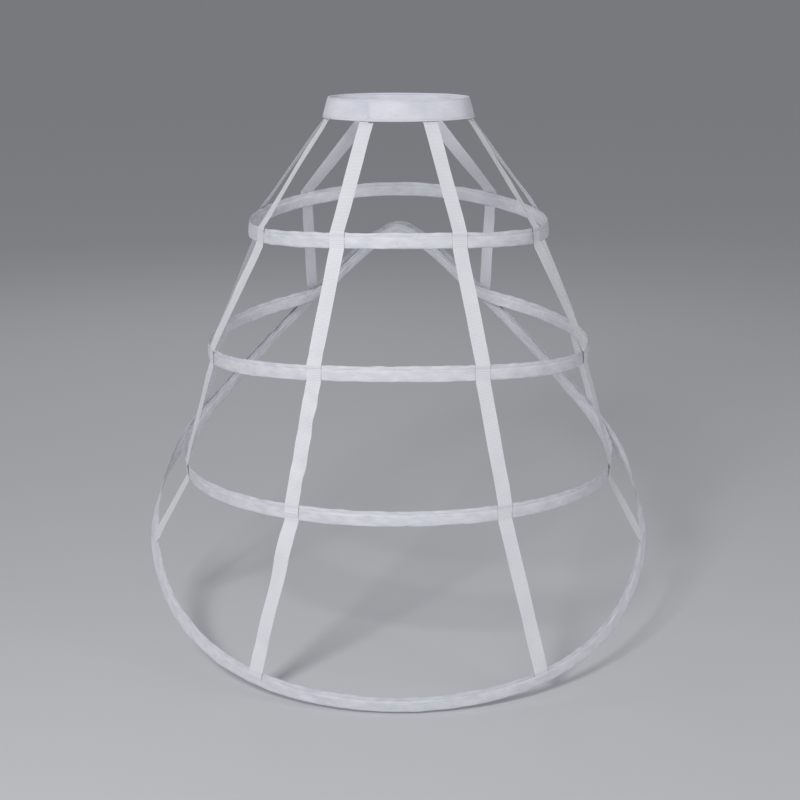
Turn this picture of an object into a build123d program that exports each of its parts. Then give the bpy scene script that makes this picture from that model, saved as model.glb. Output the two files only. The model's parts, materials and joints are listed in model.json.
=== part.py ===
from build123d import *
from dataclasses import dataclass
import math
import os

# Crinoline cage, raised at the wearer's front.
# Frame: +Z up, +Y the wearer's front, +X the wearer's right, origin at the centre of the waistband's top edge.
# Angles run round the cage from the centre back (0) over the wearer's right side (90) to the centre front (180).

# Waistband, mm
BAND_HEIGHT = 35.0
BAND_THICKNESS = 2.2
BAND_TOP_HALF_WIDTH = 120.0
BAND_TOP_HALF_DEPTH = 90.0
BAND_BOTTOM_HALF_WIDTH = 130.0
BAND_BOTTOM_HALF_DEPTH = 98.0
BAND_LAP_GAP = 2.2
BAND_OUTER_END = -23.5
BAND_INNER_END = -5.0
BAND_LAP_RUN = 25.0
BAND_STEP = 5.0

# Hoop casings: a flat fabric tube with the hoop bone standing in it, mm
CASING_HEIGHT = 25.0
CASING_THICKNESS = 4.0
CASING_WALL = 0.8
BONE_HEIGHT = 14.0
BONE_THICKNESS = 1.2
BONE_END_GAP = 1.0
FERRULE_WALL = 0.5
FERRULE_LENGTH = 32.0
HOOP_STEP = 5.0

# Front arch, where the lower three casings are sewn together one on the other, mm
ARCH_JOIN_ANGLE = 105.0
ARCH_JOIN_RADIUS = 369.0
ARCH_FRONT_RADIUS = 332.0
ARCH_TOP_HEIGHT = -275.0
ARCH_DROP = 310.0
ARCH_ROUNDING = 0.1
ARCH_TOP_LEAN = -0.5
ARCH_JOIN_LEAN = 0.1
FRONT_TAPE_JOIN_ANGLE = 152.5

# Tapes, mm
TAPE_WIDTH = 25.0
TAPE_THICKNESS = 1.0
TAPE_END_LAP = 12.0
TAPE_UNDER_BAND = 18.0
TAPE_BEND_BELOW_BAND = 1.5
TAPE_EASE = 0.3
TAPE_STEP = 20.0

# Skirt hooks and bars in the waistband's lap, mm; heights in the lap are above the inner end's face
PLATE_THICKNESS = 0.4
PLATE_TOP = 1.9
TONGUE_BASE = 0.3
BRIDGE_BASE = 0.9
HOOK_WIDTH = 11.0
HOOK_LENGTH = 13.0
HOOK_TONGUE = 7.0
TONGUE_WIDTH = 7.0
BAR_WIDTH = 14.0
BAR_LENGTH = 2.5
BAR_START = 0.7
BAR_CLEARANCE = 0.5
CLOSURE_HEIGHTS = (-9.5, -25.5)


@dataclass(frozen=True)
class Hoop:
    """One hoop: an oval in plan, with its heights at the back, side and front, and its lean and layer.

    The fullness lowers the hoop between its back and its sides. A shifted hoop keeps its own shape up to the arch.
    """

    name: str
    half_width: float
    half_depth: float
    back: float
    side: float
    front: float
    back_lean: float
    side_lean: float
    leave_angle: float = 360.0
    join_angle: float = 361.0
    layer: float = 0.0
    fullness: float = 0.0
    shifted: bool = False


HOOPS = (
    Hoop("hoop_1", 257.0, 257.0, -205.0, -219.0, -190.0, -0.15, -0.05),
    Hoop("hoop_2", 333.0, 318.0, -405.0, -429.0, -392.0, -0.15, 0.0, 143.0, FRONT_TAPE_JOIN_ANGLE, -1.8, shifted=True),
    Hoop("hoop_3", 377.0, 377.0, -623.0, -637.0, -637.0, -0.1, 0.15, 78.0, ARCH_JOIN_ANGLE, 0.0),
    Hoop("hoop_4", 440.0, 440.0, -909.0, -711.0, -420.0, 0.05, -0.65, 79.0, ARCH_JOIN_ANGLE, 1.0, fullness=32.0),
)

# Each tape: its angle at the waistband, then its angle at each hoop that it crosses, from the top hoop down.
# A tape ends on the lowest hoop, which is the outermost layer where the casings are sewn together.
TAPES = {
    "back_tape": (22.5, (22.0, 23.5, 26.5, 31.6)),
    "side_back_tape": (65.0, (61.5, 71.5, 76.5, 79.0)),
    "side_front_tape": (112.0, (110.0, 107.5, 107.0)),
    "front_tape": (157.5, (139.0, FRONT_TAPE_JOIN_ANGLE)),
}
UP = Vector(0, 0, 1)


def radial(angle):
    """The level direction straight out from the cage's axis at an angle."""
    return Vector(math.sin(math.radians(angle)), -math.cos(math.radians(angle)), 0)


def smoothstep(start, end, value):
    """0 before start, 1 after end, and smooth in between."""
    share = min(1.0, max(0.0, (value - start) / (end - start)))
    return share * share * (3.0 - 2.0 * share)


def frame_on(curve, angle, lean):
    """The tangent, outward normal and upward width direction of a band that follows a curve and leans."""
    step = 0.05
    tangent = (curve(angle + step) - curve(angle - step)).normalized()
    out = radial(angle)
    width = UP + out * lean
    width = (width - tangent * width.dot(tangent)).normalized()
    normal = width.cross(tangent)
    if normal.dot(out) < 0:
        normal = normal * -1
    return tangent, normal, width


def arch_share(angle):
    """How far an angle is from the centre front, as a share of the arch's half."""
    return abs(180.0 - angle) / (180.0 - ARCH_JOIN_ANGLE)


def arch_point(angle):
    """The centre line of the front arch: a rounded peak whose two legs run down towards the sides."""
    share = arch_share(angle)
    radius = ARCH_FRONT_RADIUS + (ARCH_JOIN_RADIUS - ARCH_FRONT_RADIUS) * share**2
    point = radial(angle) * radius
    aside = abs(point.X) / (ARCH_JOIN_RADIUS * math.sin(math.radians(ARCH_JOIN_ANGLE)))
    fall = (math.hypot(aside, ARCH_ROUNDING) - ARCH_ROUNDING) / (math.hypot(1, ARCH_ROUNDING) - ARCH_ROUNDING)
    return point + UP * (ARCH_TOP_HEIGHT - ARCH_DROP * fall)


def arch_lean(angle):
    """How far the arch's band leans in at its top edge."""
    return ARCH_TOP_LEAN + (ARCH_JOIN_LEAN - ARCH_TOP_LEAN) * arch_share(angle) ** 2


def arch_frame(angle):
    """The directions that all the casings in the arch share."""
    return frame_on(arch_point, angle, arch_lean(angle))


def own_point(hoop, angle):
    """A hoop's own oval, away from the arch."""
    aside = math.sin(math.radians(angle))
    forward = -math.cos(math.radians(angle))
    rise = (hoop.front - hoop.back) / 2.0
    bow = (hoop.front + hoop.back) / 2.0 - hoop.side
    height = hoop.side + rise * forward + bow * forward**2 + hoop.fullness * forward * aside**2
    return Vector(hoop.half_width * aside, hoop.half_depth * forward, height)


def layered_point(hoop, angle):
    """A hoop's centre line within its layer of the arch."""
    return arch_point(angle) + arch_frame(angle)[1] * (hoop.layer * CASING_THICKNESS)


def hoop_point(hoop, angle):
    """A hoop's centre line: its own oval, led into its layer of the arch."""
    share = smoothstep(hoop.leave_angle, hoop.join_angle, angle)
    if share == 0.0:
        return own_point(hoop, angle)
    if hoop.shifted and angle < hoop.join_angle:
        shift = layered_point(hoop, hoop.join_angle) - own_point(hoop, hoop.join_angle)
        return own_point(hoop, angle) + shift * share
    return own_point(hoop, angle) * (1.0 - share) + layered_point(hoop, angle) * share


def hoop_frame(hoop, angle):
    """A hoop's tangent, outward normal and width direction."""
    if angle >= hoop.join_angle:
        return arch_frame(angle)
    share = smoothstep(hoop.leave_angle, hoop.join_angle, angle)
    forward = -math.cos(math.radians(angle))
    lean = hoop.side_lean + (hoop.side_lean - hoop.back_lean) * forward
    lean = lean * (1.0 - share) + arch_lean(angle) * share
    return frame_on(lambda at: hoop_point(hoop, at), angle, lean)


def arc_angle(hoop, length):
    """The angle that a short length takes up at the centre back of a hoop."""
    return math.degrees(length / hoop.half_width)


def hoop_angles(hoop, start, end):
    """Station angles along a half hoop: even steps, one under each tape's middle and one at the ferrule's end."""
    stations = {index * HOOP_STEP for index in range(int(180 / HOOP_STEP) + 1)}
    stations |= {at for _, crossings in TAPES.values() for at in crossings}
    stations |= {arc_angle(hoop, BONE_END_GAP / 2.0), arc_angle(hoop, FERRULE_LENGTH / 2.0)}
    return sorted({at for at in stations if start < at < end} | {start, end})


def section_face(centre, half_normal, half_width):
    """A four-cornered section from its middle, half its thickness and half its width."""
    corners = (
        centre - half_normal - half_width,
        centre + half_normal - half_width,
        centre + half_normal + half_width,
        centre - half_normal + half_width,
    )
    return Face(Wire.make_polygon(corners, close=True))


def hoop_strip(hoop, start, end, thickness, height, lift=0.0):
    """A solid rectangular strip along a hoop from one angle to another, lifted within the casing."""
    sections = []
    for angle in hoop_angles(hoop, start, end):
        _, normal, width = hoop_frame(hoop, angle)
        centre = hoop_point(hoop, angle) + width * lift
        sections.append(section_face(centre, normal * (thickness / 2.0), width * (height / 2.0)))
    return loft(sections, ruled=True)


def both_sides(half):
    """A half on the wearer's right, fused to its mirror image on the left."""
    return half + mirror(half, about=Plane.YZ)


def bone_lift():
    """How far the bone's middle stands from the casing's middle: its ferrule rests on the casing's lower fold."""
    inner_height = CASING_HEIGHT - 2.0 * CASING_WALL
    return FERRULE_WALL + BONE_HEIGHT / 2.0 - inner_height / 2.0


def make_casing(hoop):
    """The fabric tube of a hoop, open inside all the way round."""
    outer = hoop_strip(hoop, 0.0, 180.0, CASING_THICKNESS, CASING_HEIGHT)
    inner = hoop_strip(
        hoop, 0.0, 180.0, CASING_THICKNESS - 2.0 * CASING_WALL, CASING_HEIGHT - 2.0 * CASING_WALL
    )
    return both_sides(outer - inner)


def make_bone(hoop):
    """The flat hoop bone, with its two ends facing each other at the centre back."""
    start = arc_angle(hoop, BONE_END_GAP / 2.0)
    return both_sides(hoop_strip(hoop, start, 180.0, BONE_THICKNESS, BONE_HEIGHT, bone_lift()))


def make_ferrule(hoop):
    """The flat metal sleeve that holds the bone's two ends together."""
    end = arc_angle(hoop, FERRULE_LENGTH / 2.0)
    outer = hoop_strip(
        hoop, 0.0, end, BONE_THICKNESS + 2.0 * FERRULE_WALL, BONE_HEIGHT + 2.0 * FERRULE_WALL, bone_lift()
    )
    inner = hoop_strip(hoop, 0.0, end, BONE_THICKNESS, BONE_HEIGHT, bone_lift())
    return both_sides(outer - inner)


def band_point(angle, height, outward=0.0):
    """A point on the waistband's outer face, moved outward along the oval's normal."""
    share = -height / BAND_HEIGHT
    half_width = BAND_TOP_HALF_WIDTH + (BAND_BOTTOM_HALF_WIDTH - BAND_TOP_HALF_WIDTH) * share
    half_depth = BAND_TOP_HALF_DEPTH + (BAND_BOTTOM_HALF_DEPTH - BAND_TOP_HALF_DEPTH) * share
    turn = math.radians(angle)
    point = Vector(half_width * math.sin(turn), -half_depth * math.cos(turn), height)
    return point + band_normal(angle) * outward


def band_normal(angle):
    """The level direction straight out from the waistband's oval."""
    turn = math.radians(angle)
    return Vector(BAND_TOP_HALF_DEPTH * math.sin(turn), -BAND_TOP_HALF_WIDTH * math.cos(turn), 0).normalized()


def band_section(angle, outward):
    """The waistband's flared section at an angle."""
    corners = (
        band_point(angle, 0.0, outward),
        band_point(angle, 0.0, outward - BAND_THICKNESS),
        band_point(angle, -BAND_HEIGHT, outward - BAND_THICKNESS),
        band_point(angle, -BAND_HEIGHT, outward),
    )
    return Face(Wire.make_polygon(corners, close=True))


def lap_offset(angle):
    """How far the waistband stands out: the outer end steps out over the inner one, which steps in."""
    raised = BAND_THICKNESS + BAND_LAP_GAP
    rise_start = BAND_INNER_END + BAND_LAP_RUN
    return raised * (1.0 - smoothstep(BAND_INNER_END + 2.0, rise_start, angle))


def make_waistband():
    """One strip round the waist, whose outer end laps over its inner end at the wearer's back."""
    start = BAND_OUTER_END
    end = 360.0 + BAND_INNER_END
    count = int((end - start) / BAND_STEP)
    angles = [start + (end - start) * index / count for index in range(count + 1)]
    return loft([band_section(angle, lap_offset(angle)) for angle in angles], ruled=True)


def lap_middle():
    """The angle at the middle of the lap."""
    return (BAND_OUTER_END + BAND_INNER_END) / 2.0


def lap_plane(height):
    """A plane on the inner end's outer face, facing out into the lap, with its X axis along the waistband."""
    angle = lap_middle()
    slope = band_point(angle, 0.0) - band_point(angle, -BAND_HEIGHT)
    along = UP.cross(band_normal(angle))
    return Plane(origin=band_point(angle, height), x_dir=along, z_dir=along.cross(slope))


def plate_block(length, width, start, base, thickness=PLATE_THICKNESS):
    """A piece of a bent plate: its start along the waistband and its base above the inner end."""
    return Pos(start, 0, base) * Box(length, width, thickness, align=(Align.MIN, Align.CENTER, Align.MIN))


def make_hook(height):
    """A skirt hook: a flat plate with its tongue folded back under it, sewn under the outer end."""
    edge = -HOOK_LENGTH / 2.0
    plate = plate_block(HOOK_LENGTH, HOOK_WIDTH, edge, PLATE_TOP - PLATE_THICKNESS)
    tongue = plate_block(HOOK_TONGUE, TONGUE_WIDTH, edge, TONGUE_BASE)
    fold = plate_block(PLATE_THICKNESS, TONGUE_WIDTH, edge, TONGUE_BASE, PLATE_TOP - TONGUE_BASE)
    return lap_plane(height) * (plate + tongue + fold)


def make_bar(height):
    """The bar that a skirt hook catches: a narrow bridge on two feet, sewn on the inner end."""
    start = BAR_START - HOOK_LENGTH / 2.0
    foot_width = (BAR_WIDTH - TONGUE_WIDTH) / 2.0 - BAR_CLEARANCE
    reach = (BAR_WIDTH - foot_width) / 2.0
    foot = plate_block(BAR_LENGTH, foot_width, start, 0.0, BRIDGE_BASE)
    bridge = plate_block(BAR_LENGTH, BAR_WIDTH, start, BRIDGE_BASE)
    return lap_plane(height) * (bridge + Pos(0, reach, 0) * foot + Pos(0, -reach, 0) * foot)


def band_sagitta(angle):
    """How far the waistband's curve falls away over half a tape's width."""
    turn = math.radians(angle)
    run = math.hypot(BAND_BOTTOM_HALF_WIDTH * math.cos(turn), BAND_BOTTOM_HALF_DEPTH * math.sin(turn))
    bend_radius = run**3 / (BAND_BOTTOM_HALF_WIDTH * BAND_BOTTOM_HALF_DEPTH)
    return (TAPE_WIDTH / 2.0) ** 2 / (2.0 * bend_radius)


def tape_section(centre, along, across, outward):
    """One section of a tape, square to its run: its middle, half its thickness and half its width."""
    across = (across - along * across.dot(along)).normalized()
    normal = along.cross(across)
    if normal.dot(outward) < 0:
        normal = normal * -1
    return centre, normal * (TAPE_THICKNESS / 2.0), across * (TAPE_WIDTH / 2.0)


def tape_in_band(angle):
    """The two sections of a tape at the waistband: its sewn end on the inner face, and its way out below."""
    normal = band_normal(angle)
    across = UP.cross(normal)
    inside = -BAND_THICKNESS - TAPE_THICKNESS / 2.0 - TAPE_EASE - band_sagitta(angle)
    top = band_point(angle, TAPE_UNDER_BAND - BAND_HEIGHT, inside)
    foot = band_point(angle, -BAND_HEIGHT - TAPE_BEND_BELOW_BAND, inside)
    along = (foot - top).normalized()
    return [tape_section(point, along, across, normal) for point in (top, foot)]


def tape_on_hoop(hoop, angle, is_end):
    """The two sections of a tape on a casing's outer face: at its top edge, and at its foot or the tape's end."""
    tangent, normal, width = hoop_frame(hoop, angle)
    face = hoop_point(hoop, angle) + normal * ((CASING_THICKNESS + TAPE_THICKNESS) / 2.0)
    top = CASING_HEIGHT / 2.0
    foot = top - TAPE_END_LAP if is_end else -top
    return [tape_section(face + width * at, width * -1, tangent, normal) for at in (top, foot)]


def tape_stations(sections):
    """A tape's sections with more between those that are far apart, so that each span twists only a little."""
    stations = [sections[0]]
    for first, second in zip(sections, sections[1:]):
        count = math.ceil((second[0] - first[0]).length / TAPE_STEP)
        for share in (index / count for index in range(1, count + 1)):
            stations.append(tuple(a * (1.0 - share) + b * share for a, b in zip(first, second)))
    return stations


def make_tape(waist_angle, crossings):
    """A tape on the wearer's right, from inside the waistband over the outside of each casing to its sewn end."""
    sections = tape_in_band(waist_angle)
    crossed = HOOPS[: len(crossings) - 1]
    for hoop, angle in zip(crossed, crossings):
        sections += tape_on_hoop(hoop, angle, False)
    sections += tape_on_hoop(HOOPS[-1], crossings[-1], True)
    return loft([section_face(*section) for section in tape_stations(sections)], ruled=True)


def build():
    """Every piece of the cage by its name."""
    pieces = {"waistband": make_waistband()}
    for label, height in zip(("upper", "lower"), CLOSURE_HEIGHTS):
        pieces[f"waist_hook_{label}"] = make_hook(height)
        pieces[f"waist_bar_{label}"] = make_bar(height)
    for hoop in HOOPS:
        pieces[f"{hoop.name}_casing"] = make_casing(hoop)
        pieces[f"{hoop.name}_bone"] = make_bone(hoop)
        pieces[f"{hoop.name}_ferrule"] = make_ferrule(hoop)
    for name, (waist_angle, crossings) in TAPES.items():
        right = make_tape(waist_angle, crossings)
        pieces[f"{name}_right"] = right
        pieces[f"{name}_left"] = mirror(right, about=Plane.YZ)
    return pieces


if __name__ == "__main__":
    os.makedirs("parts", exist_ok=True)
    for name, piece in build().items():
        export_step(piece, f"parts/{name}.step")
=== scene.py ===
"""A crinoline cage raised at the wearer's front: its cloth casings, ribbed tapes and waistband on the CAD frame.

Metres, +Z up, +Y the wearer's front, +X the wearer's right, origin at the centre of the waistband's top edge.
Angles run round the cage from the centre back (0) over the wearer's right side (90) to the centre front (180).
"""

import json
import logging
import math
from bisect import bisect_right
from dataclasses import dataclass, field
from enum import Enum
from itertools import combinations
from typing import Callable, Sequence

import bmesh
import bpy
from mathutils import Matrix, Vector, noise


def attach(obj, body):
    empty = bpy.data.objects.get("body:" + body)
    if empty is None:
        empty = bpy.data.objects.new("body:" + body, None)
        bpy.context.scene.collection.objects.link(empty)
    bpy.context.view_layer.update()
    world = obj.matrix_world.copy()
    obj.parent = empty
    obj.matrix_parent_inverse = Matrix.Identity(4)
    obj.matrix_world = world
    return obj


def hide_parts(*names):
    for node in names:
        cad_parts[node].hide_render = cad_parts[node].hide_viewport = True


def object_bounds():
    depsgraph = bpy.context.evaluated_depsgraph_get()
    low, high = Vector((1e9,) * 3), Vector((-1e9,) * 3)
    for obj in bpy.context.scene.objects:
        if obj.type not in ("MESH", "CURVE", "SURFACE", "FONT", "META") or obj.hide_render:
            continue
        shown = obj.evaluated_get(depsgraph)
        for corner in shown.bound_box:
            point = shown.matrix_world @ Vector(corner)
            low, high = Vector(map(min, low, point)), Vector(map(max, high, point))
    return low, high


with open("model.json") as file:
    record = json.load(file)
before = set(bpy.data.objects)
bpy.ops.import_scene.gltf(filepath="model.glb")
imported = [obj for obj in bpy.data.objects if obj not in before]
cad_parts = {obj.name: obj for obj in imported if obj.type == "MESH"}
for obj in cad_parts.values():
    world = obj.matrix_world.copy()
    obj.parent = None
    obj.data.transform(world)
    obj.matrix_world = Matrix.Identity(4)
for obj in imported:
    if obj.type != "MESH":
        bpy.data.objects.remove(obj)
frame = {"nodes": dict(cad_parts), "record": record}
CAD_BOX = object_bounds()

log = logging.getLogger("crinoline_cage")
MM = 0.001
BODY = "root"


class Slot(str, Enum):
    """The material slots of the record."""

    CASING = "casing_fabric"
    TAPE = "tape_fabric"
    BAND = "band_fabric"
    BONE = "bone_coating"
    FERRULE = "ferrule_metal"
    CLOSURE = "closure_metal"


class Side(Enum):
    """The wearer's two sides."""

    RIGHT = "right"
    LEFT = "left"


# ---------------------------------------------------------------- lines read from the frame


@dataclass(frozen=True)
class Station:
    """A place on a flat strip: its middle, and the ways along it, out of its face and across it."""

    middle: Vector
    along: Vector
    out: Vector
    across: Vector

    def point(self, out: float, across: float) -> Vector:
        """A point beside the middle, by its distances out of the face and across the strip."""
        return self.middle + self.out * out + self.across * across


class Track:
    """A smooth line along a flat strip, through sampled middles with the way out at each."""

    FINE = 8

    def __init__(self, middles: Sequence[Vector], outs: Sequence[Vector], closed: bool) -> None:
        """Measures the line.

        Args:
            middles: Points that the line passes through, in order.
            outs: The way out of the strip's face at each point.
            closed: Whether the line runs back into its first point.
        """
        self.middles = list(middles)
        self.outs = list(outs)
        self.closed = closed
        self.spans = len(self.middles) if closed else len(self.middles) - 1
        self.lengths = [0.0]
        last = self.middles[0]
        for step in range(1, self.spans * self.FINE + 1):
            point = self._spline(self.middles, step / self.FINE)
            self.lengths.append(self.lengths[-1] + (point - last).length)
            last = point
        self.length = self.lengths[-1]

    def _spline(self, values: Sequence[Vector], place: float) -> Vector:
        """The value of a smooth curve through a list, at a place counted in its items."""
        first = min(int(math.floor(place)), self.spans - 1) if not self.closed else int(math.floor(place))
        share = place - first
        count = len(values)
        if self.closed:
            a, b, c, d = (values[index % count] for index in range(first - 1, first + 3))
        else:
            a, b, c, d = (values[min(max(index, 0), count - 1)] for index in range(first - 1, first + 3))
        return 0.5 * (
            2.0 * b + (c - a) * share + (2.0 * a - 5.0 * b + 4.0 * c - d) * share**2
            + (3.0 * b - a - 3.0 * c + d) * share**3
        )

    def at_place(self, place: float) -> Station:
        """The station at a place counted in sampled middles."""
        step = 0.02
        before, after = place - step, place + step
        if not self.closed:
            before, after = max(0.0, before), min(float(self.spans), after)
        along = (self._spline(self.middles, after) - self._spline(self.middles, before)).normalized()
        out = self._spline(self.outs, place)
        out = (out - along * out.dot(along)).normalized()
        return Station(self._spline(self.middles, place), along, out, out.cross(along))

    def at(self, distance: float) -> Station:
        """The station at a distance along the line."""
        if self.closed:
            distance %= self.length
        index = min(max(bisect_right(self.lengths, distance) - 1, 0), len(self.lengths) - 2)
        start, end = self.lengths[index], self.lengths[index + 1]
        return self.at_place((index + (distance - start) / (end - start)) / self.FINE)


def radial(angle: float) -> Vector:
    """The level way out from the cage's axis at an angle in degrees."""
    turn = math.radians(angle)
    return Vector((math.sin(turn), -math.cos(turn), 0.0))


def angle_of(point: Vector) -> float:
    """The angle round the cage of a point, from 0 to 360."""
    return math.degrees(math.atan2(point.x, -point.y)) % 360.0


def merged_copy(node: str) -> bmesh.types.BMesh:
    """A CAD node's mesh as one joined shell, for measuring."""
    shape = bmesh.new()
    shape.from_mesh(frame["nodes"][node].data)
    bmesh.ops.remove_doubles(shape, verts=shape.verts[:], dist=1e-6)
    return shape


def cut_points(shape: bmesh.types.BMesh, angle: float) -> list[Vector]:
    """The points where a shape crosses the upright half plane at an angle round the cage."""
    sliced = shape.copy()
    out = radial(angle)
    geometry = sliced.verts[:] + sliced.edges[:] + sliced.faces[:]
    cut = bmesh.ops.bisect_plane(
        sliced, geom=geometry, dist=1e-7, plane_co=(0, 0, 0), plane_no=radial(angle + 90.0)
    )
    points = [item.co.copy() for item in cut["geom_cut"] if isinstance(item, bmesh.types.BMVert)]
    sliced.free()
    return [point for point in points if point.dot(out) > 0.0]


def four_corners(points: Sequence[Vector], out: Vector) -> list[Vector]:
    """The four corners of a cut across a strip, the lower two first."""
    flat = [Vector((point.dot(out), point.z)) for point in points]
    first, last = max(combinations(range(len(flat)), 2), key=lambda pair: (flat[pair[0]] - flat[pair[1]]).length)
    line = flat[last] - flat[first]
    aside = Vector((-line.y, line.x))
    offsets = [(spot - flat[first]).dot(aside) for spot in flat]
    picks = (first, last, offsets.index(max(offsets)), offsets.index(min(offsets)))
    return sorted((points[index] for index in picks), key=lambda point: point.z)


def strip_track(cuts: Sequence[tuple[float, Sequence[Vector]]], closed: bool) -> Track:
    """The middle line of a strip from its cuts.

    Args:
        cuts: Each cut's angle round the cage and its four corners.
        closed: Whether the strip is a ring.

    Returns:
        The track, whose way out is square to the strip's broad face.
    """
    middles = [sum(corners, Vector()) / 4.0 for _, corners in cuts]
    rises = [(corners[2] + corners[3]) - (corners[0] + corners[1]) for _, corners in cuts]
    outs = []
    for index, (angle, _) in enumerate(cuts):
        after = (index + 1) % len(cuts) if closed else min(index + 1, len(cuts) - 1)
        before = index - 1 if closed else max(index - 1, 0)
        along = (middles[after] - middles[before]).normalized()
        out = along.cross(rises[index]).normalized()
        outs.append(out if out.dot(radial(angle)) > 0.0 else -out)
    return Track(middles, outs, closed)


class HoopTrack:
    """A hoop casing's middle line, read from its CAD node."""

    STEP = 5
    # From the middle line to the far corner of a tape's section on the casing, and a little more
    REACH = 17.0 * MM

    def __init__(self, node: str) -> None:
        """Cuts the node every few degrees."""
        shape = merged_copy(node)
        cuts = [(angle, four_corners(cut_points(shape, angle), radial(angle))) for angle in range(0, 360, self.STEP)]
        shape.free()
        self.track = strip_track(cuts, True)

    def at_angle(self, angle: float) -> Station:
        """The station at an angle round the cage."""
        return self.track.at_place(angle / self.STEP)

    def meeting(self, points: Sequence[Vector]) -> Vector | None:
        """The middle of the points that lie on the casing, or nothing where none of them do."""
        near = [point for point in points if self._gap(point) < self.REACH]
        return sum(near, Vector()) / len(near) if near else None

    def _gap(self, point: Vector) -> float:
        """How far a point is from the casing's middle line."""
        return (self.at_angle(angle_of(point)).middle - point).length


class BandTrack:
    """The waistband's middle line from its outer end round to its inner end, read from its CAD node."""

    # The angles of the two ends, a little inside the node's own, and how far they lap, in degrees
    OUTER_END = -29.5
    INNER_END = 353.2
    LAP = 22.9
    COUNT = 108

    def __init__(self, node: str) -> None:
        """Cuts the node all the way round, with the outer layer where the two ends lap."""
        shape = merged_copy(node)
        cuts = []
        for index in range(self.COUNT + 1):
            angle = self.OUTER_END + (self.INNER_END - self.OUTER_END) * index / self.COUNT
            points = cut_points(shape, angle)
            out = radial(angle)
            if angle < self.OUTER_END + self.LAP:
                points = self._layer(points, out, 1.0)
            elif angle > self.INNER_END - self.LAP:
                points = self._layer(points, out, -1.0)
            cuts.append((angle, four_corners(points, out)))
        shape.free()
        self.track = strip_track(cuts, False)

    @staticmethod
    def _layer(points: Sequence[Vector], out: Vector, side: float) -> list[Vector]:
        """The points of the outer (1) or inner (-1) of two lapped layers, which flare alike."""
        top = max(point.z for point in points)
        low = min(point.z for point in points)
        reach = [max(p.dot(out) for p in points if abs(p.z - level) < 1e-5) for level in (top, low)]
        flare = (reach[1] - reach[0]) / (top - low)
        depths = [point.dot(out) - flare * (top - point.z) for point in points]
        middle = (max(depths) + min(depths)) / 2.0
        return [point for point, depth in zip(points, depths) if (depth - middle) * side > 0.0]

    def at_angle(self, angle: float) -> Station:
        """The station at an angle round the cage."""
        return self.track.at_place((angle - self.OUTER_END) / (self.INNER_END - self.OUTER_END) * self.COUNT)


# ---------------------------------------------------------------- shared cloth work


def smoothstep(start: float, end: float, value: float) -> float:
    """0 before start, 1 after end, and smooth in between."""
    share = min(1.0, max(0.0, (value - start) / (end - start)))
    return share * share * (3.0 - 2.0 * share)


def wave(point: Vector, size: float, seed: float) -> float:
    """Smooth noise from about -1 to 1 whose swells are about a size across."""
    return noise.noise(point / size + Vector((seed, seed * 1.7, -seed)))


def cloth_grid(
    steps_along: int, steps_across: int, size: tuple[float, float], place: Callable[[int, int], Vector]
) -> bmesh.types.BMesh:
    """A strip of cloth laid out flat and then moved into place.

    Args:
        steps_along: Quads along the strip.
        steps_across: Quads across the strip.
        size: The strip's real length and width, which its UV map is drawn to.
        place: Gives the point for a step along and a step across.

    Returns:
        The strip, whose faces look along cross(along, across).
    """
    cloth = bmesh.new()
    uv = cloth.loops.layers.uv.new("Cloth")
    bmesh.ops.create_grid(cloth, x_segments=steps_along, y_segments=steps_across, size=0.5, calc_uvs=True)
    for face in cloth.faces:
        for loop in face.loops:
            flat = loop.vert.co
            loop[uv].uv = ((flat.x + 0.5) * size[0], (flat.y + 0.5) * size[1])
    for vert in cloth.verts:
        vert.co = place(round((vert.co.x + 0.5) * steps_along), round((vert.co.y + 0.5) * steps_across))
    return cloth


def even_stations(track: Track, step: float) -> tuple[list[float], list[Station]]:
    """Distances about a step apart along a whole track, and the station at each."""
    count = round(track.length / step)
    distances = [track.length * index / count for index in range(count + 1)]
    return distances, [track.at(distance) for distance in distances]


def folded_width(section: Sequence[tuple[float, float]]) -> float:
    """The flat width of a cloth folded into a section, which is given in mm for one of its two layers."""
    return 2.0 * sum(math.hypot(b[0] - a[0], b[1] - a[1]) * MM for a, b in zip(section, section[1:]))


def thicken(cloth: bmesh.types.BMesh, thickness: float) -> None:
    """Gives a sheet its thickness behind its face, with crisp rims."""
    bmesh.ops.solidify(cloth, geom=cloth.faces[:], thickness=thickness)
    for face in cloth.faces:
        face.smooth = True
    for edge in cloth.edges:
        if len(edge.link_faces) == 2 and edge.calc_face_angle(0.0) > math.radians(50.0):
            edge.smooth = False


def finished(name: str, shape: bmesh.types.BMesh, material: bpy.types.Material) -> bpy.types.Object:
    """Turns a mesh into a dressed object that rides on the frame, and frees the mesh."""
    mesh = bpy.data.meshes.new(name)
    shape.to_mesh(mesh)
    shape.free()
    mesh.materials.append(material)
    piece = bpy.data.objects.new(name, mesh)
    bpy.context.scene.collection.objects.link(piece)
    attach(piece, BODY)
    return piece


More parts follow.
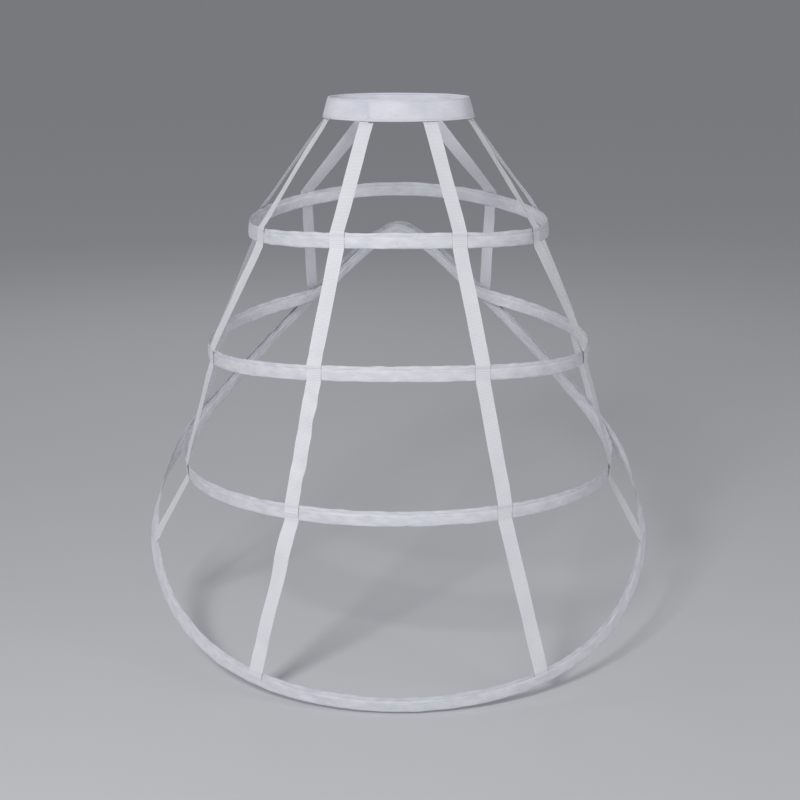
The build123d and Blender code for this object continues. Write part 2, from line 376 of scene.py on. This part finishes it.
@dataclass
class Thread:
    """Sewing thread as a row of small rounded stitches."""

    length: float = 2.1 * MM
    width: float = 0.5 * MM
    height: float = 0.36 * MM
    spacing: float = 3.0 * MM
    pattern: bpy.types.Mesh | None = None

    def __post_init__(self) -> None:
        """Makes the one stitch that the others are copied from, a unit long along X."""
        shape = bmesh.new()
        bmesh.ops.create_uvsphere(
            shape, u_segments=6, v_segments=4, radius=0.5, matrix=Matrix.Rotation(math.pi / 2.0, 4, "Y")
        )
        self.pattern = bpy.data.meshes.new("stitch_pattern")
        shape.to_mesh(self.pattern)
        shape.free()

    def stitch(self, shape: bmesh.types.BMesh, middle: Vector, along: Vector, out: Vector) -> None:
        """Adds one stitch that lies along one way and stands out another."""
        aside = out.cross(along).normalized()
        axes = Matrix((along * self.length, aside * self.width, out * self.height)).transposed().to_4x4()
        copy = self.pattern.copy()
        copy.transform(Matrix.Translation(middle) @ axes)
        shape.from_mesh(copy)
        bpy.data.meshes.remove(copy)

    def row(self, shape: bmesh.types.BMesh, points: Sequence[Vector], outs: Sequence[Vector]) -> None:
        """Adds stitches end to end along a line of points."""
        travelled, due = 0.0, self.spacing / 2.0
        for first, second, out in zip(points, points[1:], outs):
            span = second - first
            while due <= travelled + span.length:
                self.stitch(shape, first + span * ((due - travelled) / span.length), span.normalized(), out)
                due += self.spacing
            travelled += span.length


# ---------------------------------------------------------------- finishes


def linear(hex_colour: str) -> tuple[float, float, float, float]:
    """An sRGB hex colour as linear red, green, blue and alpha."""
    channels = [int(hex_colour[index : index + 2], 16) / 255.0 for index in (1, 3, 5)]
    red, green, blue = (c / 12.92 if c <= 0.04045 else ((c + 0.055) / 1.055) ** 2.4 for c in channels)
    return red, green, blue, 1.0


def add_node(tree: bpy.types.NodeTree, kind: str, inputs: dict | None = None, **settings) -> bpy.types.Node:
    """Adds a node with its settings, and sets or links its inputs.

    Args:
        tree: The node tree that it goes in.
        kind: The node's type name.
        inputs: Values or output sockets by the name or number of the input.
        settings: Attributes of the node.

    Returns:
        The new node.
    """
    node = tree.nodes.new(kind)
    for key, value in settings.items():
        setattr(node, key, value)
    for key, value in (inputs or {}).items():
        if isinstance(value, bpy.types.NodeSocket):
            tree.links.new(value, node.inputs[key])
        else:
            node.inputs[key].default_value = value
    return node


def new_material(name: str) -> tuple[bpy.types.Material, bpy.types.NodeTree]:
    """A material with an empty node tree."""
    material = bpy.data.materials.new(name)
    material.use_nodes = True
    material.node_tree.nodes.clear()
    return material, material.node_tree


@dataclass(frozen=True)
class Ripple:
    """A sine along one axis of the cloth's UV map, for threads and ribs."""

    axis: str
    pitch_mm: float

    def build(self, tree: bpy.types.NodeTree, uv: bpy.types.NodeSocket) -> bpy.types.NodeSocket:
        """Adds the nodes and gives their output, from -1 to 1."""
        axes = add_node(tree, "ShaderNodeSeparateXYZ", {0: uv})
        turn = add_node(
            tree, "ShaderNodeMath", {0: axes.outputs[self.axis], 1: 2.0 * math.pi / (self.pitch_mm * MM)},
            operation="MULTIPLY",
        )
        return add_node(tree, "ShaderNodeMath", {0: turn.outputs[0]}, operation="SINE").outputs[0]


@dataclass(frozen=True)
class Taffeta:
    """White polyester taffeta: a close, crisp plain weave with a faint cool lustre that creases softly.

    Its threads are about 0.2 mm apart, too fine to show, so they are drawn at a few times that.
    """

    name: str
    colour: str = "#ECEDF2"
    # Painted shade: the colour laid in the hollows of the creases, darker than the cloth's own white
    crease_shade: str = "#DFE1E9"
    thread_mm: float = 1.1
    crease_mm: float = 13.0
    crease_turn: float = 0.3
    crease_along: float = 0.5
    crease_across: float = 1.4
    slub_length_mm: float = 14.0
    slub_width_mm: float = 0.9
    thread_height: float = 0.05 * MM
    crease_height: float = 2.4 * MM
    roughness: float = 0.5

    def build(self) -> bpy.types.Material:
        """Makes the material."""
        material, tree = new_material(self.name)
        coords = add_node(tree, "ShaderNodeTexCoord")
        uv = coords.outputs["UV"]
        warp = Ripple("X", self.thread_mm).build(tree, uv)
        weft = Ripple("Y", self.thread_mm).build(tree, uv)
        weave = add_node(tree, "ShaderNodeMath", {0: warp, 1: weft}, operation="MULTIPLY")
        drawn_out = add_node(
            tree, "ShaderNodeMapping",
            {
                "Vector": uv, "Rotation": (0.0, 0.0, self.crease_turn),
                "Scale": (
                    self.crease_along / (self.crease_mm * MM), self.crease_across / (self.crease_mm * MM), 1.0,
                ),
            },
        )
        creases = add_node(
            tree, "ShaderNodeTexNoise",
            {"Vector": drawn_out.outputs[0], "Scale": 1.0, "Detail": 3.0, "Roughness": 0.5},
        )
        slubs_at = add_node(
            tree, "ShaderNodeMapping",
            {"Vector": uv, "Scale": (1.0 / (self.slub_length_mm * MM), 1.0 / (self.slub_width_mm * MM), 1.0)},
        )
        slubs = add_node(tree, "ShaderNodeTexNoise", {"Vector": slubs_at.outputs[0], "Scale": 1.0, "Detail": 1.0})
        # Painted shade: the crease noise darkens the colour towards the crease shade in the creases' hollows
        painted_shade_tone = add_node(
            tree, "ShaderNodeMapRange",
            {"Value": creases.outputs["Fac"], "From Min": 0.34, "From Max": 0.62, "To Min": 0.0, "To Max": 1.0},
        )
        base = add_node(
            tree, "ShaderNodeMix", {"Factor": painted_shade_tone.outputs[0], "A": linear(self.crease_shade), "B": linear(self.colour)},
            data_type="RGBA",
        )
        speck = add_node(
            tree, "ShaderNodeMapRange",
            {"Value": slubs.outputs["Fac"], "From Min": 0.3, "From Max": 0.7, "To Min": 0.93, "To Max": 1.0},
        )
        colour = add_node(
            tree, "ShaderNodeMix", {"Factor": 1.0, "A": base.outputs["Result"], "B": speck.outputs[0]},
            data_type="RGBA", blend_type="MULTIPLY",
        )
        fine = add_node(
            tree, "ShaderNodeBump",
            {"Height": weave.outputs[0], "Distance": self.thread_height, "Strength": 0.6},
        )
        coarse = add_node(
            tree, "ShaderNodeBump",
            {
                "Height": creases.outputs["Fac"], "Distance": self.crease_height, "Strength": 0.8,
                "Normal": fine.outputs[0],
            },
        )
        surface = add_node(
            tree, "ShaderNodeBsdfPrincipled",
            {
                "Base Color": colour.outputs["Result"], "Roughness": self.roughness, "IOR": 1.5,
                "Specular IOR Level": 0.4, "Sheen Weight": 0.25, "Sheen Roughness": 0.4, "Normal": coarse.outputs[0],
            },
        )
        add_node(tree, "ShaderNodeOutputMaterial", {"Surface": surface.outputs[0]})
        return material


@dataclass(frozen=True)
class Grosgrain:
    """White grosgrain tape: firm ribs straight across, between two flat woven selvedges.

    Its ribs are about 0.9 mm apart, and are drawn a little wider so that they show.
    """

    name: str
    width: float
    colour: str = "#F6F6FA"
    # Painted shade: the colour between the ribs, darker than the tape's own white
    groove_shade: str = "#DDDEE5"
    rib_mm: float = 2.8
    rib_height: float = 0.2 * MM
    selvedge_mm: float = 1.3
    wear_mm: float = 30.0
    roughness: float = 0.6

    def build(self) -> bpy.types.Material:
        """Makes the material."""
        material, tree = new_material(self.name)
        coords = add_node(tree, "ShaderNodeTexCoord")
        uv = coords.outputs["UV"]
        ribs = Ripple("X", self.rib_mm).build(tree, uv)
        axes = add_node(tree, "ShaderNodeSeparateXYZ", {0: uv})
        centred = add_node(
            tree, "ShaderNodeMath", {0: axes.outputs["Y"], 1: self.width / 2.0}, operation="SUBTRACT"
        )
        aside = add_node(tree, "ShaderNodeMath", {0: centred.outputs[0]}, operation="ABSOLUTE")
        middle = add_node(
            tree, "ShaderNodeMapRange",
            {
                "Value": aside.outputs[0], "From Min": self.width / 2.0 - self.selvedge_mm * MM,
                "From Max": self.width / 2.0 - self.selvedge_mm * MM * 0.7, "To Min": 1.0, "To Max": 0.0,
            },
        )
        ribbed = add_node(tree, "ShaderNodeMath", {0: ribs, 1: middle.outputs[0]}, operation="MULTIPLY")
        drift = add_node(
            tree, "ShaderNodeTexNoise",
            {"Vector": coords.outputs["Object"], "Scale": 1.0 / (self.wear_mm * MM), "Detail": 3.0},
        )
        # Painted shade: the ribs take the tape's white and the grooves between them the darker groove shade
        painted_shade_tone = add_node(
            tree, "ShaderNodeMapRange",
            {"Value": ribbed.outputs[0], "From Min": -1.0, "From Max": 0.4, "To Min": 0.25, "To Max": 1.0},
        )
        worn = add_node(
            tree, "ShaderNodeMapRange",
            {"Value": drift.outputs["Fac"], "From Min": 0.3, "From Max": 0.7, "To Min": 0.78, "To Max": 1.0},
        )
        share = add_node(tree, "ShaderNodeMath", {0: painted_shade_tone.outputs[0], 1: worn.outputs[0]}, operation="MULTIPLY")
        colour = add_node(
            tree, "ShaderNodeMix", {"Factor": share.outputs[0], "A": linear(self.groove_shade), "B": linear(self.colour)},
            data_type="RGBA",
        )
        bump = add_node(
            tree, "ShaderNodeBump", {"Height": ribbed.outputs[0], "Distance": self.rib_height, "Strength": 0.7}
        )
        surface = add_node(
            tree, "ShaderNodeBsdfPrincipled",
            {
                "Base Color": colour.outputs["Result"], "Roughness": self.roughness, "IOR": 1.5,
                "Specular IOR Level": 0.35, "Sheen Weight": 0.2, "Sheen Roughness": 0.5, "Normal": bump.outputs[0],
            },
        )
        add_node(tree, "ShaderNodeOutputMaterial", {"Surface": surface.outputs[0]})
        return material


@dataclass(frozen=True)
class SmoothFinish:
    """A plain coated or plated surface: a slightly uneven tone and polish over fine scratches."""

    name: str
    colour: str
    metallic: float
    roughness: float
    grain_mm: float

    def build(self) -> bpy.types.Material:
        """Makes the material."""
        material, tree = new_material(self.name)
        coords = add_node(tree, "ShaderNodeTexCoord")
        grain = add_node(
            tree, "ShaderNodeTexNoise",
            {"Vector": coords.outputs["Object"], "Scale": 1.0 / (self.grain_mm * MM), "Detail": 4.0},
        )
        polish = add_node(
            tree, "ShaderNodeMapRange",
            {
                "Value": grain.outputs["Fac"], "From Min": 0.3, "From Max": 0.7,
                "To Min": self.roughness - 0.08, "To Max": self.roughness + 0.08,
            },
        )
        dark = tuple(channel * 0.85 for channel in linear(self.colour)[:3]) + (1.0,)
        colour = add_node(
            tree, "ShaderNodeMix", {"Factor": grain.outputs["Fac"], "A": dark, "B": linear(self.colour)},
            data_type="RGBA",
        )
        bump = add_node(
            tree, "ShaderNodeBump", {"Height": grain.outputs["Fac"], "Distance": 0.05 * MM, "Strength": 0.5}
        )
        surface = add_node(
            tree, "ShaderNodeBsdfPrincipled",
            {
                "Base Color": colour.outputs["Result"], "Metallic": self.metallic,
                "Roughness": polish.outputs[0], "Normal": bump.outputs[0],
            },
        )
        add_node(tree, "ShaderNodeOutputMaterial", {"Surface": surface.outputs[0]})
        return material


# ---------------------------------------------------------------- the cage's parts


@dataclass
class Casing:
    """A hoop's casing: a strip of taffeta folded under the bone and sewn together near its top edge."""

    number: int
    hoop: HoopTrack
    step: float = 3.0 * MM
    seam: float = 6.8 * MM
    cloth: float = 0.28 * MM
    ferrule_reach: float = 19.0 * MM
    most: float = 1.9 * MM
    # Height above the middle and half the thickness, in mm, from the open top edge down to the fold
    section: tuple[tuple[float, float], ...] = (
        (12.4, 0.55), (11.2, 0.45), (9.6, 0.5), (7.9, 0.6), (6.8, 0.38), (5.8, 0.75), (4.2, 1.25), (2.0, 1.5),
        (-0.6, 1.6), (-3.4, 1.62), (-6.2, 1.6), (-8.8, 1.5), (-10.8, 1.25), (-11.9, 0.8), (-12.4, 0.0),
    )

    @property
    def name(self) -> str:
        """The name of the casing's CAD node."""
        return f"hoop_{self.number}_casing"

    def loop(self) -> list[tuple[float, float, float]]:
        """The section as (side, height, half thickness): down the inner side and up the outer side."""
        inner = [(-1.0, height * MM, half * MM) for height, half in self.section]
        outer = [(1.0, height * MM, half * MM) for height, half in reversed(self.section[:-1])]
        return inner + outer

    def shape_point(self, station: Station, distance: float, spot: tuple[float, float, float]) -> Vector:
        """One point of the cloth, with its puckers along the seam and its long drag folds."""
        side, height, half = spot
        seed = self.number * 7.3 + side * 2.1
        line = station.middle
        near_seam = math.exp(-abs(height - self.seam) / (5.0 * MM))
        pucker = wave(line + station.along * height * 0.4, 8.0 * MM, seed) * near_seam
        drag = wave(line + station.along * height * 1.3, 24.0 * MM, seed + 3.0)
        fold = wave(line - station.along * height * 2.2, 60.0 * MM, seed + 5.0)
        belly = smoothstep(0.0, 1.4 * MM, half)
        # The swells only show where the cloth stands off the middle. The least reach is meant to leave room
        # for the bone, which still comes through the cloth in places.
        swell = (0.7 * pucker + 1.0 * drag + 0.8 * fold) * MM * belly
        from_back = min(distance, self.hoop.track.length - distance)
        ferrule = 1.0 - smoothstep(self.ferrule_reach - 4.0 * MM, self.ferrule_reach, from_back)
        if -11.9 * MM < height < 3.6 * MM:
            half = max(half, 1.7 * MM * ferrule)
        reach = min(self.most, max(half + swell, min(half, (0.95 + 0.65 * ferrule) * MM)))
        flange = smoothstep(self.seam, 12.0 * MM, height)
        flutter = wave(line, 15.0 * MM, self.number * 3.1) * 1.3 * MM * flange
        edge = wave(line, 19.0 * MM, self.number * 5.7) * 1.3 * MM * flange
        sag = wave(line, 26.0 * MM, self.number * 9.1) * 0.9 * MM * smoothstep(-4.0 * MM, -12.0 * MM, height)
        return station.point(side * reach + flutter, height + edge + sag)

    def build(self, cloth: bpy.types.Material, thread: bpy.types.Material) -> bpy.types.Object:
        track = self.hoop.track
        distances, stations = even_stations(track, self.step)
        loop = self.loop()
        strip = folded_width(self.section)
        shape = cloth_grid(
            len(stations) - 1, len(loop) - 1, (track.length, strip),
            lambda along, around: self.shape_point(stations[along], distances[along], loop[around]),
        )
        bmesh.ops.remove_doubles(shape, verts=shape.verts[:], dist=1e-6)
        thicken(shape, self.cloth)
        piece = finished(self.name + "_cloth", shape, cloth)
        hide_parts(self.name)
        seam = self.build_seam(stations, distances, thread)
        log.info("casing %d: %.3f m long, cut %.1f mm wide", self.number, track.length, strip / MM)
        return piece

    def build_seam(
        self, stations: Sequence[Station], distances: Sequence[float], thread: bpy.types.Material
    ) -> bpy.types.Object:
        """Makes the row of stitches on both faces of the casing."""
        rows = bmesh.new()
        stitches = Thread()
        half = dict((height, half) for height, half in self.section)[self.seam / MM] * MM
        for side in (1.0, -1.0):
            points = [
                self.shape_point(station, distance, (side, self.seam, half)) + station.out * side * 0.05 * MM
                for station, distance in zip(stations, distances)
            ]
            stitches.row(rows, points, [station.out * side for station in stations])
        return finished(self.name + "_seam", rows, thread)


@dataclass
class Crossing:
    """Where a tape is sewn to a casing."""

    hoop: HoopTrack
    angle: float


@dataclass
class Slack:
    """How loosely one length of a tape hangs."""

    start: float
    end: float
    depth: float
    size: float


@dataclass
class Tape:
    """A vertical tape from inside the waistband, over the outside of each casing, to its sewn end."""

    name: str
    band: BandTrack
    waist_angle: float
    crossings: Sequence[Crossing]
    seed: float
    slack: Sequence[Slack] = ()
    width: float = 25.0 * MM
    cloth: float = 0.55 * MM
    step: float = 3.0 * MM
    across_steps: int = 10
    on_casing: float = 2.3 * MM
    half_casing: float = 12.5 * MM
    end_lap: float = 12.0 * MM
    in_band: float = 2.6 * MM
    above_band_middle: float = 0.5 * MM
    below_band_middle: float = 19.0 * MM
    pinned: list[float] = field(default_factory=list)

    def anchors(self) -> list[tuple[Vector, Vector]]:
        """The places that hold the tape, from the top down: each with the way out of its face."""
        band = self.band.at_angle(self.waist_angle)
        held = [
            (band.point(-self.in_band, self.above_band_middle), band.out),
            (band.point(-self.in_band, -self.below_band_middle), band.out),
        ]
        for crossing in self.crossings:
            station = crossing.hoop.at_angle(crossing.angle)
            last = crossing is self.crossings[-1]
            foot = self.half_casing - self.end_lap if last else -self.half_casing
            held += [(station.point(self.on_casing, up), station.out) for up in (self.half_casing, foot)]
        return held

    def track(self) -> Track:
        """The tape's middle line, with its pinned places noted."""
        held = self.anchors()
        middles, outs = [held[0][0]], [held[0][1]]
        travelled = 0.0
        self.pinned = [0.0]
        for (start, first_out), (end, second_out) in zip(held, held[1:]):
            span = (end - start).length
            count = max(2, round(span / (5.0 * MM)))
            for index in range(1, count + 1):
                share = index / count
                middles.append(start.lerp(end, share))
                outs.append(first_out.lerp(second_out, share))
            travelled += span
            self.pinned.append(travelled)
        return Track(middles, outs, False)

    def freedom(self, distance: float) -> float:
        """0 where the tape is sewn down and 1 in the middle of a free span."""
        nearest = min(abs(distance - place) for place in self.pinned)
        return smoothstep(2.0 * MM, 30.0 * MM, nearest)

    def shape_point(self, station: Station, distance: float, across: float) -> Vector:
        """One point of the tape, with its slight curl, twist and slack."""
        free = self.freedom(distance)
        share = across / (self.width / 2.0)
        line = station.middle
        bow = wave(line, 90.0 * MM, self.seed) * 1.6 * MM
        twist = wave(line, 70.0 * MM, self.seed + 4.0) * 1.2 * MM * share
        curl = (0.35 + 0.5 * wave(line, 50.0 * MM, self.seed + 8.0)) * MM * (share**2 - 0.4)
        out = (bow + twist + curl) * free
        for loose in self.slack:
            within = smoothstep(loose.start, loose.start + 0.03, distance) * (
                1.0 - smoothstep(loose.end - 0.03, loose.end, distance)
            )
            dent = wave(line + station.across * across * 0.9, loose.size, self.seed + 12.0)
            out += dent * loose.depth * within * free
        drift = wave(line, 120.0 * MM, self.seed + 16.0) * 0.8 * MM * free
        return station.point(out, across + drift)

    def build(self, cloth: bpy.types.Material, thread: bpy.types.Material) -> bpy.types.Object:
        track = self.track()
        distances, stations = even_stations(track, self.step)
        steps = self.across_steps
        shape = cloth_grid(
            len(stations) - 1, steps, (track.length, self.width),
            lambda along, across: self.shape_point(
                stations[along], distances[along], self.width * (across / steps - 0.5)
            ),
        )
        thicken(shape, self.cloth)
        piece = finished(self.name + "_ribbon", shape, cloth)
        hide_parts(self.name)
        rows = bmesh.new()
        self.sew(rows)
        stitches = finished(self.name + "_stitches", rows, thread)
        rests = ["waistband"]
        rests += [f"hoop_{index + 1}_casing" for index in range(len(self.crossings) - 1)]
        rests.append("hoop_4_casing")
        log.info("%s: %.3f m long", self.name, track.length)
        return piece

    def sew(self, rows: bmesh.types.BMesh) -> None:
        """Adds the rows of stitches that hold the tape to each casing."""
        stitches = Thread(spacing=2.6 * MM)
        for crossing in self.crossings:
            station = crossing.hoop.at_angle(crossing.angle)
            last = crossing is self.crossings[-1]
            heights = (9.0 * MM, 2.2 * MM) if last else (9.5 * MM, 7.0 * MM)
            lift = self.on_casing + 0.1 * MM
            for height in heights:
                ends = [
                    station.point(lift, height) + station.along * side * self.width * 0.46 for side in (-1.0, 1.0)
                ]
                stitches.row(rows, ends, [station.out])


@dataclass
class Waistband:
    """The waistband: a strip of white cloth folded lengthwise over an interfacing, lapped at the back."""

    band: BandTrack
    step: float = 3.0 * MM
    cloth: float = 0.35 * MM
    end_taper: float = 2.5 * MM
    # Height above the middle and half the thickness, in mm, from the sewn bottom edge up to the fold
    section: tuple[tuple[float, float], ...] = (
        (-17.4, 0.55), (-16.6, 0.85), (-15.6, 0.9), (-14.8, 0.7), (-14.0, 0.9), (-11.0, 1.0), (-6.0, 1.08),
        (0.0, 1.1), (6.0, 1.08), (11.0, 1.0), (14.0, 0.9), (14.8, 0.72), (15.6, 0.9), (16.6, 0.85), (17.3, 0.5),
        (17.5, 0.0),
    )

    def loop(self) -> list[tuple[float, float, float]]:
        """The section as (side, height, half thickness): up the outer side and down the inner side."""
        outer = [(1.0, height * MM, half * MM) for height, half in self.section]
        inner = [(-1.0, height * MM, half * MM) for height, half in reversed(self.section[:-1])]
        return outer + inner

    def shape_point(self, station: Station, distance: float, spot: tuple[float, float, float]) -> Vector:
        """One point of the band, slightly uneven, and closed flat at its ends."""
        side, height, half = spot
        from_end = min(distance, self.band.track.length - distance)
        half *= 0.25 + 0.75 * smoothstep(0.0, self.end_taper, from_end)
        line = station.middle + station.across * height * 0.4
        swell = wave(line, 22.0 * MM, 31.0 + side) * 0.12 * MM
        ripple = wave(station.middle, 45.0 * MM, 41.0) * 0.35 * MM
        edge = wave(station.middle, 60.0 * MM, 47.0 + math.copysign(3.0, height)) * 0.3 * MM
        return station.point(side * half + swell + ripple, height + edge * abs(height) / (17.5 * MM))

    def build(self, cloth: bpy.types.Material, thread: bpy.types.Material) -> bpy.types.Object:
        track = self.band.track
        distances, stations = even_stations(track, self.step)
        loop = self.loop()
        strip = folded_width(self.section)
        shape = cloth_grid(
            len(stations) - 1, len(loop) - 1, (track.length, strip),
            lambda along, around: self.shape_point(stations[along], distances[along], loop[around]),
        )
        thicken(shape, self.cloth)
        piece = finished("waistband_cloth", shape, cloth)
        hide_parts("waistband")
        rows = bmesh.new()
        self.sew(rows, stations, distances)
        stitches = finished("waistband_stitches", rows, thread)
        log.info("waistband: %.3f m long, cut %.1f mm wide", track.length, strip / MM)
        return piece

    def sew(self, rows: bmesh.types.BMesh, stations: Sequence[Station], distances: Sequence[float]) -> None:
        """Adds the stitching along both edges and the two rows at the lapped end."""
        stitches = Thread()
        for height, half in ((14.8 * MM, 0.72 * MM), (-14.8 * MM, 0.7 * MM)):
            for side in (1.0, -1.0):
                points = [
                    self.shape_point(station, distance, (side, height, half)) + station.out * side * 0.05 * MM
                    for station, distance in zip(stations, distances)
                ]
                stitches.row(rows, points[1:-1], [station.out * side for station in stations[1:-1]])
        for inset in (2.0 * MM, 5.0 * MM):
            station = self.band.track.at(inset)
            points = [station.point(1.1 * MM, height) for height in (-14.0 * MM, 14.0 * MM)]
            stitches.row(rows, points, [station.out])


def tape_path(node: str, hoops: Sequence[HoopTrack]) -> tuple[float, list[Crossing]]:
    """A tape's angle at the waist and its crossings from the top down, read from its CAD node.

    Where casings lie one on another, only the outermost of them counts as crossed.
    """
    shape = merged_copy(node)
    points = [vert.co.copy() for vert in shape.verts]
    shape.free()
    top = max(point.z for point in points)
    held = [point for point in points if point.z > top - 1.0 * MM]
    crossings: list[Crossing] = []
    last = None
    for hoop in hoops:
        spot = hoop.meeting(points)
        if spot is None:
            continue
        if last is not None and (spot - last).length < 2.0 * hoop.REACH:
            crossings.pop()
        crossings.append(Crossing(hoop, angle_of(spot)))
        last = spot
    return angle_of(sum(held, Vector()) / len(held)), crossings


@dataclass
class Cage:
    """The whole cage."""

    TAPES = ("back_tape", "side_back_tape", "side_front_tape", "front_tape")

    slack: dict[str, tuple[Slack, ...]] = field(
        default_factory=lambda: {
            "back_tape_left": (Slack(0.42, 0.66, 5.0 * MM, 26.0 * MM), Slack(0.66, 0.93, 8.0 * MM, 48.0 * MM)),
        }
    )
    finishes: dict[Slot, bpy.types.Material] = field(default_factory=dict)

    def mix_finishes(self) -> None:
        """Makes the materials."""
        self.finishes = {
            Slot.CASING: Taffeta("white_taffeta").build(),
            Slot.TAPE: Grosgrain("white_grosgrain_tape", 25.0 * MM).build(),
            # The waistband's crease shade is painted shade too, darkening the hollows of its faint creases
            Slot.BAND: Taffeta(
                "white_cotton_waistband", colour="#EEEEF4", crease_shade="#DDDFEA", thread_mm=1.0, crease_mm=30.0,
                crease_height=0.12 * MM, thread_height=0.06 * MM, roughness=0.7,
            ).build(),
            Slot.BONE: SmoothFinish("white_bone_coating", "#E9E9E4", 0.0, 0.45, 6.0).build(),
            Slot.FERRULE: SmoothFinish("zinc_plated_steel", "#B9BABD", 1.0, 0.38, 1.5).build(),
            Slot.CLOSURE: SmoothFinish("nickel_plated_steel", "#C4C2BE", 1.0, 0.28, 2.0).build(),
        }
        # Painted shade: the thread is drawn grey, darker than the white cloth, so that its rows show as the shaded
        # lines along the seams
        self.thread = SmoothFinish("sewing_thread_painted_shade", "#C6C8D2", 0.0, 0.7, 1.0).build()

    def dress_frame(self) -> None:
        """Gives the metal and coated pieces of the frame their finishes."""
        slots = {row["node"]: row["material_slot"] for row in frame["record"]["subparts"]}
        for name, node in frame["nodes"].items():
            node.data.materials.clear()
            node.data.materials.append(self.finishes[Slot(slots[name])])

    def build(self) -> None:
        """Builds every cloth piece on the frame."""
        self.mix_finishes()
        self.dress_frame()
        band = BandTrack("waistband")
        hoops = [HoopTrack(f"hoop_{number}_casing") for number in range(1, 5)]
        Waistband(band).build(self.finishes[Slot.BAND], self.thread)
        for number, hoop in enumerate(hoops, 1):
            Casing(number, hoop).build(self.finishes[Slot.CASING], self.thread)
        for seed, kind in enumerate(self.TAPES):
            for side in Side:
                name = f"{kind}_{side.value}"
                waist_angle, crossings = tape_path(name, hoops)
                tape = Tape(
                    name, band, waist_angle, crossings,
                    seed=seed * 5.0 + (0.0 if side is Side.RIGHT else 2.5), slack=self.slack.get(name, ()),
                )
                tape.build(self.finishes[Slot.TAPE], self.thread)


# ---------------------------------------------------------------- the studio


@dataclass
class Studio:
    """A pale floor, soft lights, and a camera behind the wearer, slightly above the waist."""

    floor_colour: str = "#D2D3D6"
    world_colour: str = "#D8DADF"
    world_strength: float = 0.4
    floor_size: float = 400.0
    floor_gap: float = 0.004
    eye: tuple[float, float, float] = (0.0025, -2.60, 0.178)
    pitch_degrees: float = -15.3
    focal_length_mm: float = 67.95

    def build(self) -> None:
        """Sets up the floor, world, lights and camera."""
        self.lay_floor()
        self.light_world()
        self.add_light("key", (-1.2, -2.7, 1.5), 0.8, 56.0)
        self.add_light("fill", (2.4, -1.6, 0.9), 1.6, 14.0)
        self.add_light("rim", (-0.6, 2.6, 1.4), 1.4, 8.0)
        self.place_camera()
        bpy.context.scene.view_settings.view_transform = "Standard"

    def lay_floor(self) -> None:
        """Lays a wide plain floor just under the cage."""
        shape = bmesh.new()
        bmesh.ops.create_grid(shape, x_segments=1, y_segments=1, size=self.floor_size)
        bmesh.ops.translate(shape, verts=shape.verts[:], vec=(0.0, 0.0, CAD_BOX[0].z - self.floor_gap))
        mesh = bpy.data.meshes.new("studio_floor")
        shape.to_mesh(mesh)
        shape.free()
        material, tree = new_material("pale_matt_floor")
        surface = add_node(
            tree, "ShaderNodeBsdfPrincipled", {"Base Color": linear(self.floor_colour), "Roughness": 0.9}
        )
        add_node(tree, "ShaderNodeOutputMaterial", {"Surface": surface.outputs[0]})
        mesh.materials.append(material)
        floor = bpy.data.objects.new("studio_floor", mesh)
        bpy.context.scene.collection.objects.link(floor)

    def light_world(self) -> None:
        """Lights the whole scene softly from all round."""
        world = bpy.data.worlds.new("studio_world")
        world.use_nodes = True
        world.node_tree.nodes.clear()
        glow = add_node(
            world.node_tree, "ShaderNodeBackground",
            {"Color": linear(self.world_colour), "Strength": self.world_strength},
        )
        add_node(world.node_tree, "ShaderNodeOutputWorld", {"Surface": glow.outputs[0]})
        bpy.context.scene.world = world

    def add_light(self, name: str, place: tuple[float, float, float], size: float, power: float) -> None:
        """Adds a soft square light that faces the middle of the cage."""
        lamp = bpy.data.lights.new(f"studio_{name}", "AREA")
        lamp.size = size
        lamp.energy = power
        light = bpy.data.objects.new(f"studio_{name}", lamp)
        target = (CAD_BOX[0] + CAD_BOX[1]) / 2.0
        turn = (target - Vector(place)).to_track_quat("-Z", "Y").to_matrix().to_4x4()
        light.matrix_world = Matrix.Translation(place) @ turn
        bpy.context.scene.collection.objects.link(light)

    def place_camera(self) -> None:
        """Places the camera behind the wearer, looking slightly down."""
        lens = bpy.data.cameras.new("camera")
        lens.sensor_width = 36.0
        lens.lens = self.focal_length_mm
        camera = bpy.data.objects.new("camera", lens)
        camera.location = self.eye
        camera.rotation_euler = (math.radians(90.0 + self.pitch_degrees), 0.0, 0.0)
        bpy.context.scene.collection.objects.link(camera)
        bpy.context.scene.camera = camera


def main() -> None:
    """Builds the cage and the studio."""
    logging.basicConfig(level=logging.INFO, format="%(name)s: %(message)s")
    Cage().build()
    Studio().build()


if __name__ == "__main__":
    main()
